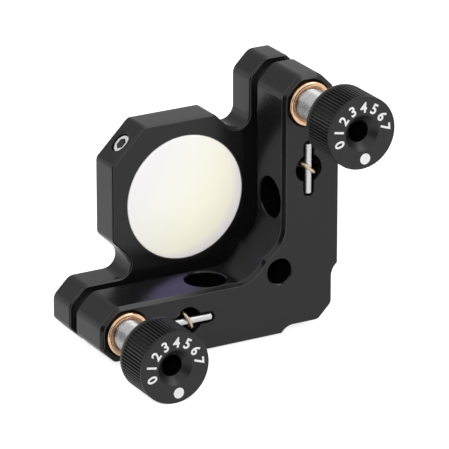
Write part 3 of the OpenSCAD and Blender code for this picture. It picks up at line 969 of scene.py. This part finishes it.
def dot_mesh(radius):
    """Painted index dot in a shallow dimple."""
    steps = [(0, 0.012), (0.6, 0.012), (0.68, 0.004), (0.78, 0.016), (0.97, 0.016), (1, 0)]
    steps += [(1, -0.3), (0, -0.3)]
    return turned([(radius * share, -out, 0) for share, out in steps], 48)


def number_mesh(text, size):
    """Plain number as a thin layer of paint, centred on its own origin."""
    curve = bpy.data.curves.new("number", "FONT")
    curve.body, curve.size, curve.extrude, curve.offset = text, size, PAINT_HALF, 0.075
    curve.align_x, curve.align_y = "CENTER", "CENTER"
    curve.resolution_u = 4
    writing = put("number", curve)
    graph = bpy.context.evaluated_depsgraph_get()
    mesh = bpy.data.meshes.new_from_object(writing.evaluated_get(graph))
    bpy.data.objects.remove(writing)
    bpy.data.curves.remove(curve)
    points = [v.co for v in mesh.vertices]
    middle = (Vector(map(min, *points)) + Vector(map(max, *points))) / 2
    mesh.transform(Matrix.Translation((-middle.x, -middle.y, PAINT_HALF)))
    return mesh


def dial_mesh(size):
    """Numbers 0 to 7 round the upper part of a knob's outer face."""
    bm = bmesh.new()
    for i in range(8):
        turn = radians(197.0 - 27.5 * i)
        spot = Matrix.Translation((-DIAL_R * cos(turn), DIAL_R * sin(turn), -0.012))
        number = number_mesh(str(i), size)
        number.transform(spot @ Matrix.Rotation(pi / 2 - turn, 4, "Z") @ Matrix.Diagonal((-1, 1, 1, 1)))
        bm.from_mesh(number)
        bpy.data.meshes.remove(number)
    return bm


class MOUNT_OT_knobs(Step, bpy.types.Operator):
    """Build the knurled knobs with their index marks"""

    bl_idname = "mirror_mount.knobs"
    bl_label = "Knobs"

    def build(self, s, c):
        finish = new_finish(
            "Black anodised knob", c.knob, 0.36, ringed(7000.0), spread=0.04, relief=1.2, tone=0.15,
            specular=0.40,
        )
        paint = new_finish("Index paint", c.mark, 0.5, etched(6000.0, 900.0), spread=0.05, tone=0.05)
        for arm in ARMS:
            node = arm + "_knob"
            at, screw = Place(node), Place(arm + "_screw")
            knob = knob_mesh(s, at.radius, at.long, at.end - screw.start)
            piece = add_piece(node + "_body", knob, at.matrix(), finish, node, 32)
            # The knob's bore is painted black as shade.
            add_second(piece, blackened(c), lambda spot: spot.xy.length < KNOB_HOLE_R + 0.05 and spot.z > 1.5)
            dot, dial = dot_mesh(mm(s.dot) / 2), dial_mesh(mm(s.number))
            dot_at = stand(at.u - DOT_AT[0], at.w - DOT_AT[1], at.start)
            for part, shape, matrix in (("_dot", dot, dot_at), ("_dial", dial, at.matrix())):
                mark = add_piece(node + part, shape, matrix, paint, None)
                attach(mark, arm + "_adjuster")


def helix_path(start, end, mean, wire, loop_start, loop_end):
    """Centre line of an extension spring: a loop, a leg, the coil, and the same again at the front."""
    lead = radians(40)
    coil_low, coil_high = start + wire / 2, end - wire / 2
    turns = ceil((coil_high - coil_low) / wire) + 1
    first, last = pi + lead, pi - lead + 2 * pi * turns
    steps = turns * 28
    ease = [i / 8 * pi / 2 for i in range(1, 9)]

    def hook(middle, start, skip):
        angles = [radians(start - 225 * i / 30) for i in range(skip, 31)]
        return [Vector((mean * cos(a), 0, middle + mean * sin(a))) for a in angles]

    wound = [
        (pi + lead * (1 - cos(t)), loop_start + (coil_low - loop_start) * sin(t)) for t in ease
    ]
    for i in range(1, steps + 1):
        wound.append((first + (last - first) * i / steps, coil_low + (coil_high - coil_low) * i / steps))
    for t in ease:
        wound.append((last + lead * sin(t), coil_high + (loop_end - coil_high) * (1 - cos(t))))
    coil = [Vector(polar(mean, a, z)) for a, z in wound]
    return hook(loop_start, 405, 0) + coil + hook(loop_end, 180, 1)


def wire_mesh(path, radius, sides=10):
    """Round wire along a path, with flat ends."""
    bm = bmesh.new()
    side = None
    loops = []
    angles = [2 * pi * j / sides for j in range(sides)]
    for i, point in enumerate(path):
        ahead = (path[min(i + 1, len(path) - 1)] - path[max(i - 1, 0)]).normalized()
        if side is None:
            side = ahead.orthogonal().normalized()
        side = (side - ahead * side.dot(ahead)).normalized()
        up = ahead.cross(side)
        loops.append([bm.verts.new(point + (side * cos(a) + up * sin(a)) * radius) for a in angles])
    return skin(bm, loops, ends=True)


class MOUNT_OT_springs(Step, bpy.types.Operator):
    """Build the two extension springs, each in two halves that bend at the pivot"""

    bl_idname = "mirror_mount.springs"
    bl_label = "Springs"

    def build(self, s, c):
        finish = new_finish(
            "Spring wire", c.wire, 0.32, etched(5000.0, 400.0), metal=1.0, spread=0.08, tone=0.14
        )
        wire, mean = mm(s.wire), SPRING_MEAN_R
        middle = Place("pivot_ball").middle
        bush = Place("upper_bushing")
        near, far = bush.u, bush.w - SPRING_BACK
        for arm, u, w, turn in (("upper", near, far, 40), ("lower", far, near, 63)):
            at = Place(arm + "_spring")
            low, high = at.start + wire / 2 + mean, at.end - wire / 2 - mean
            leg = mean + SPRING_LEG
            path = helix_path(low + leg, high - leg, mean, wire, low, high)
            split = min(range(41, len(path) - 40), key=lambda i: abs(path[i].z - middle)) + 1
            halves = (
                ("rear", path[:split], "base", "pivot", 1.5, middle),
                ("front", path[split - 1 :], "pivot", "cell", middle, FRONT_END - 1.5),
            )
            for half, part, one, two, start, end in halves:
                name = f"{arm}_spring_{half}"
                matrix = stand(u, w, 0, radians(turn))
                piece = add_piece(name, wire_mesh(part, wire / 2), matrix, finish, None, 60)
                piece.data.transform(piece.matrix_world)
                piece.matrix_world = Matrix.Identity(4)
                ends = [stand(at.u, at.w, d).translation for d in (start, end)]
                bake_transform(piece, one, two, *ends)
                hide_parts(arm + "_spring")


class MOUNT_OT_pins(Step, bpy.types.Operator):
    """Build the dowel pins that hold the springs"""

    bl_idname = "mirror_mount.pins"
    bl_label = "Dowel pins"

    def build(self, s, c):
        finish = new_finish(
            "Ground dowel steel", c.pin, 0.34, ringed(4000.0), metal=1.0, spread=0.06, relief=1.0, tone=0.06
        )
        for node in [f"{arm}_{end}_pin" for arm in ARMS for end in ("rear", "front")]:
            low, high = corners(node)
            size = high - low
            long, radius = max(size), min(size) / 2
            pin = moved(pin_shape(radius, long, 0.22, 40), 0, 0, -long / 2)
            spin = Matrix.Identity(4) if size.z > size.x else Matrix.Rotation(pi / 2, 4, "Y")
            matrix = Matrix.Translation((low + high) / 2 * MM) @ spin
            add_piece(node + "_body", pin, matrix, finish, node)


class MOUNT_OT_lock(Step, bpy.types.Operator):
    """Build the lock screw and finish its nylon tip and the hardened seats"""

    bl_idname = "mirror_mount.lock"
    bl_label = "Lock screw and seats"

    def build(self, s, c):
        finish = new_finish(
            "Satin lock screw", c.lock, 0.3, ringed(5000.0), metal=0.6, spread=0.05, relief=1.0, tone=0.06
        )
        mirror = Place("mirror")
        radius, inner, long = LOCK_R, mirror.radius + 1.3, LOCK_LONG
        form = [radius, radius, radius - 0.1, radius - 0.2, radius - 0.2, radius - 0.1]
        edge = radius - 0.3

        def limit(z):
            return min(radius, edge + min(z, long - z) * 1.1)

        body = screw_thread(form, mm(s.lock_pitch), 0.0, long, limit, 64)
        socket = hexagon(2.15, long - 2.4, long + OVER)
        mesh = cut_from("lock_screw_body", body, [moved(socket, turn=Matrix.Rotation(pi / 6, 3, "Z"))])
        tilt = stand(mirror.u, mirror.w, (FRONT_D + FRONT_END) / 2) @ Matrix.Rotation(pi / 4, 4, "Z")
        tilt = tilt @ Matrix.Rotation(pi / 2, 4, "Y") @ Matrix.Translation((0, 0, inner * MM))
        piece = add_piece("lock_screw_body", mesh, tilt, finish, "lock_screw", 40)
        # The hex socket is painted dark and mottled as shade.
        dark = scaled(c.lock, 0.07)
        inside = new_finish("Lock socket painted with shade", dark, 0.45, ringed(5000.0), specular=0.3, tone=0.5)
        add_second(piece, inside, lambda spot: spot.xy.length < 1.3 and spot.z < long - 0.02)
        seats = new_finish(
            "Hardened seat steel", c.hard, 0.3, etched(8000.0, 200.0), metal=1.0, spread=0.05, relief=1.0
        )
        nylon = new_finish("Nylon tip", c.nylon, 0.5, etched(5000.0, 200.0), spread=0.05, tone=0.05)
        coats = {"cone_seat": seats, "groove_seat": seats, "flat_seat": seats, "lock_tip": nylon}
        for node, coat in coats.items():
            mesh = frame["nodes"][node].data
            mesh.materials.clear()
            mesh.materials.append(coat)


# ------------------ studio

WORLD_LEVEL = 0.28
FLOOR_SEEN = 0.80
FLOOR_GLOSS = 0.25
LAMP_AIM = Vector((0, 0, 0.025))
# Distance from the mount, half width and height of each fold of the black card, in metres
CARD_STEPS = (
    (0.05, 0.01, 0), (0.12, 0.035, 0), (0.30, 0.10, 0), (0.34, 0.12, 0.04), (0.36, 0.13, 0.2),
)


def sky_strength(tree):
    """White where it is seen, softer above the far side for glosses, and plain light elsewhere."""
    where = add_node(tree, "TexCoord", {}).outputs["Generated"]
    split = add_node(tree, "SeparateXYZ", {0: where}).outputs
    far = level(tree, split["Y"], 0.0, 1.0, 0.0, 0.5)
    high = level(tree, split["Z"], 0.0, 1.0, 0.05, 0.45)
    gloss = level(tree, maths(tree, far, high), 1.0, 0.5)
    path = add_node(tree, "LightPath", {}).outputs
    seen = maths(tree, path["Is Camera Ray"], path["Is Transmission Ray"], "MAXIMUM")
    plain = maths(tree, maths(tree, 1.0, path["Is Glossy Ray"], "SUBTRACT"), WORLD_LEVEL)
    soft = maths(tree, plain, maths(tree, gloss, path["Is Glossy Ray"]), "ADD")
    return maths(tree, soft, seen, "MAXIMUM")


def add_lamp(name, spot, size, power, glosses=True):
    data = bpy.data.lights.new(name, "AREA")
    data.shape, data.size, data.energy = "DISK", size, power
    lamp = put(name, data)
    lamp.location = spot
    lamp.rotation_euler = (LAMP_AIM - Vector(spot)).to_track_quat("-Z", "Y").to_euler()
    lamp.visible_glossy = glosses


def add_floor(c):
    """Endless white floor, which keeps the shadow of the mount."""
    bm = bmesh.new()
    bmesh.ops.create_grid(bm, x_segments=8, y_segments=8, size=3.0)
    mesh = bpy.data.meshes.new("floor")
    bm.to_mesh(mesh)
    bm.free()
    sheet = put("floor", mesh)
    sheet.location.z = CAD_BOX[0][2] - 0.0001
    paper = new_finish(
        "White paper floor", c.floor, 0.9, etched(400.0, 3.0), spread=0.02, relief=10.0, tone=0.01
    )
    tree = paper.node_tree
    path = add_node(tree, "LightPath", {}).outputs
    mirrored = maths(tree, path["Is Glossy Ray"], path["Is Transmission Ray"], "MAXIMUM")
    seen = maths(tree, path["Is Camera Ray"], FLOOR_SEEN)
    glow = maths(tree, maths(tree, mirrored, FLOOR_GLOSS), seen, "ADD")
    values = {"Emission Color": (1, 1, 1, 1), "Emission Strength": glow}
    feed(tree, tree.nodes["Principled BSDF"], values)
    mesh.materials.append(paper)


def add_card(c):
    """Black card beside the camera, on the floor and up, which only glosses show."""
    bm = bmesh.new()
    along, across = Vector((-0.87, -0.49, 0)), Vector((0.49, -0.87, 0))
    foot = Vector((0, 0, CAD_BOX[0][2] + 0.0002))
    loops = []
    for reach, half, height in CARD_STEPS:
        middle = foot + along * reach + Vector((0, 0, height))
        loops.append([bm.verts.new(middle - across * half), bm.verts.new(middle + across * half)])
    for one, two in zip(loops, loops[1:]):
        bm.faces.new((one[0], one[1], two[1], two[0]))
    card = put("black_card", tidy_mesh("black_card", bm))
    card.data.materials.append(new_finish("Black card", c.anodised, 0.9, etched(400.0, 3.0), specular=0.1))
    card.visible_camera = card.visible_diffuse = card.visible_shadow = card.visible_transmission = False


# The camera's bearing, height and aim, in degrees and millimetres
CAMERA_AZIMUTH = radians(-29.23)
CAMERA_ELEVATION = radians(20.89)
CAMERA_DISTANCE = 818.07
CAMERA_LENS = 336.7
AIM = Vector((2.0, -0.2, 25.0))
AIM_RIGHT, AIM_UP = 1.915, -1.28


def add_camera():
    az, el = CAMERA_AZIMUTH, CAMERA_ELEVATION
    back = Vector((sin(az) * cos(el), -cos(az) * cos(el), sin(el)))
    right = Vector((cos(az), sin(az), 0))
    up = back.cross(right)
    target = AIM + right * AIM_RIGHT + up * AIM_UP
    data = bpy.data.cameras.new("Camera")
    data.sensor_width, data.lens = 36.0, CAMERA_LENS
    data.clip_start, data.clip_end = 0.05, 50
    camera = put("Camera", data)
    turn = Matrix((right, up, back)).transposed().to_4x4()
    camera.matrix_world = Matrix.Translation((target + back * CAMERA_DISTANCE) * MM) @ turn
    bpy.context.scene.camera = camera


class MOUNT_OT_stage(Step, bpy.types.Operator):
    """Build the white floor, the world, the lamps and the camera"""

    bl_idname = "mirror_mount.stage"
    bl_label = "Studio"

    def build(self, s, c):
        scene = bpy.context.scene
        world = bpy.data.worlds.new("White studio")
        scene.world = world
        world.use_nodes = True
        tree = world.node_tree
        feed(tree, tree.nodes["Background"], {"Color": (1, 1, 1, 1), "Strength": sky_strength(tree)})
        add_floor(c)
        add_lamp("Key lamp", (-0.45, -0.75, 0.62), 0.5, 10.0, False)
        add_lamp("Top softbox", (0.41, -0.30, 0.735), 0.6, 1.6)
        add_card(c)
        add_camera()
        scene.view_settings.view_transform = "Standard"


STEPS = (
    MOUNT_OT_plates, MOUNT_OT_mirror, MOUNT_OT_bushings, MOUNT_OT_screws, MOUNT_OT_balls, MOUNT_OT_knobs,
    MOUNT_OT_springs, MOUNT_OT_pins, MOUNT_OT_lock, MOUNT_OT_stage,
)


class MOUNT_PT_panel(bpy.types.Panel):
    """Sizes, colours and steps of the mirror mount"""

    bl_idname = "MOUNT_PT_panel"
    bl_label = "Mirror Mount"
    bl_space_type = "VIEW_3D"
    bl_region_type = "UI"
    bl_category = "Mirror Mount"

    def draw(self, context):
        for group in (context.scene.mount_sizes, context.scene.mount_colours):
            box = self.layout.box()
            for label in group.bl_rna.properties.keys():
                if label not in ("rna_type", "name"):
                    box.prop(group, label)
        for step in STEPS:
            self.layout.operator(step.bl_idname)


CLASSES = (MountSizes, MountColours, *STEPS, MOUNT_PT_panel)


def register():
    for item in CLASSES:
        bpy.utils.register_class(item)
    bpy.types.Scene.mount_sizes = bpy.props.PointerProperty(type=MountSizes)
    bpy.types.Scene.mount_colours = bpy.props.PointerProperty(type=MountColours)


def unregister():
    del bpy.types.Scene.mount_sizes
    del bpy.types.Scene.mount_colours
    for item in reversed(CLASSES):
        bpy.utils.unregister_class(item)


def main():
    register()
    for step in STEPS:
        getattr(bpy.ops.mirror_mount, step.bl_idname.split(".")[1])()


if __name__ == "__main__":
    main()
